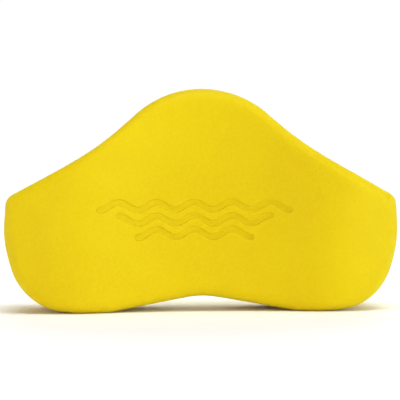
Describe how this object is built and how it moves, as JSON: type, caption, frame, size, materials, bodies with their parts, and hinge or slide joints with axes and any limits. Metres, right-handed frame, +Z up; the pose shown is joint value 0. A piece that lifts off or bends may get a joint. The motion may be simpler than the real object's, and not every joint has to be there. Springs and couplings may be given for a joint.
{
  "type": "pull buoy",
  "caption": "Bell-shaped swimmer's leg float of laminated closed-cell foam, waisted so that a leg lies in a saddle on each face.",
  "frame": {"origin": "on the ground under the middle of the float, half way between its two faces and its two ends", "axes": "+X from one lobe to the other, -Y out of the front face that carries the emblem, +Z up through the hump"},
  "size_m": [0.2622, 0.0896, 0.148],
  "materials": {
    "pad_foam": "matte",
    "core_foam": "matte",
    "contact_adhesive": "satin"
  },
  "bodies": {
    "root": {"front_pad": "pad_foam", "front_adhesive_film": "contact_adhesive", "core_board": "core_foam", "back_adhesive_film": "contact_adhesive", "back_pad": "pad_foam"}
  },
  "joints": []
}
